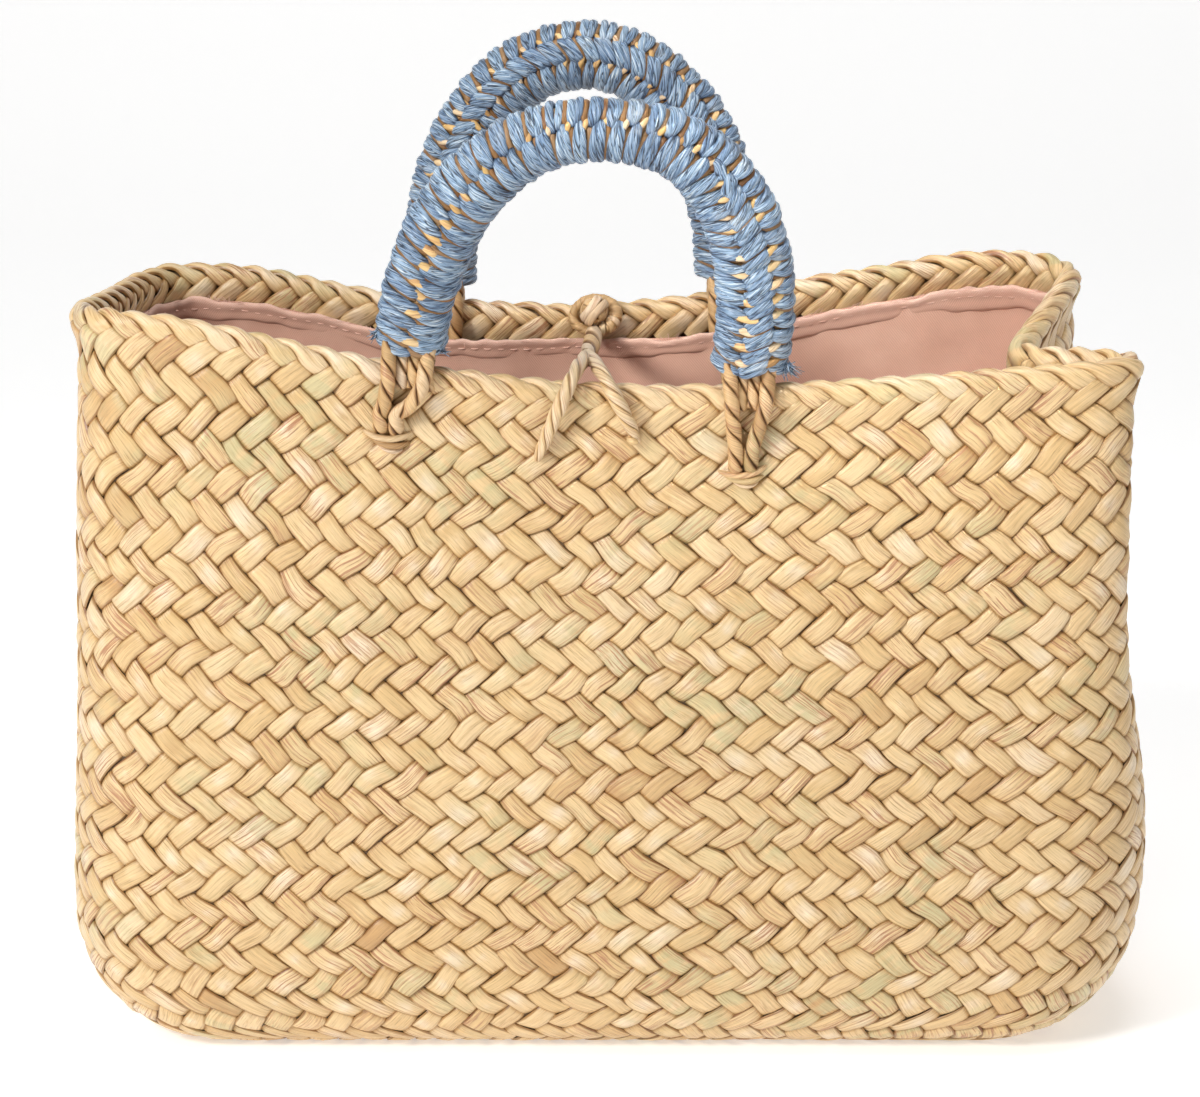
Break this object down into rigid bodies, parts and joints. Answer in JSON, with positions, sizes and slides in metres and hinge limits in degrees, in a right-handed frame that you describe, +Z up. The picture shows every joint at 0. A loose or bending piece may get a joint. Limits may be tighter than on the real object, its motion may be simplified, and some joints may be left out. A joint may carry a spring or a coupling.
{
  "type": "straw basket bag",
  "caption": "Soft woven straw basket bag with two short wrapped arch handles, a plaited edge, a cloth lining and a straw cord loop and knot that close the mouth.",
  "frame": {"origin": "middle of the flat base, on the face that the bag rests on", "axes": "+X along the bag to its right seen from the front, +Y towards the back, +Z up"},
  "size_m": [0.4273, 0.1844, 0.3945],
  "materials": {
    "straw": "dry glossy plaited straw",
    "cloth": "matt twill cloth",
    "raffia": "dyed raffia fibre",
    "cord": "twisted straw cord"
  },
  "bodies": {
    "root": {"basket_body": "straw", "plaited_edge": "straw", "lining": "cloth", "handle_front_core": "straw", "handle_front_wrap": "raffia", "handle_back_core": "straw", "handle_back_wrap": "raffia", "rope_front_left_a": "cord", "rope_front_left_b": "cord", "rope_front_right_a": "cord", "rope_front_right_b": "cord", "rope_back_left_a": "cord", "rope_back_left_b": "cord", "rope_back_right_a": "cord", "rope_back_right_b": "cord", "closing_knot": "cord", "closing_cord": "cord"}
  },
  "joints": []
}
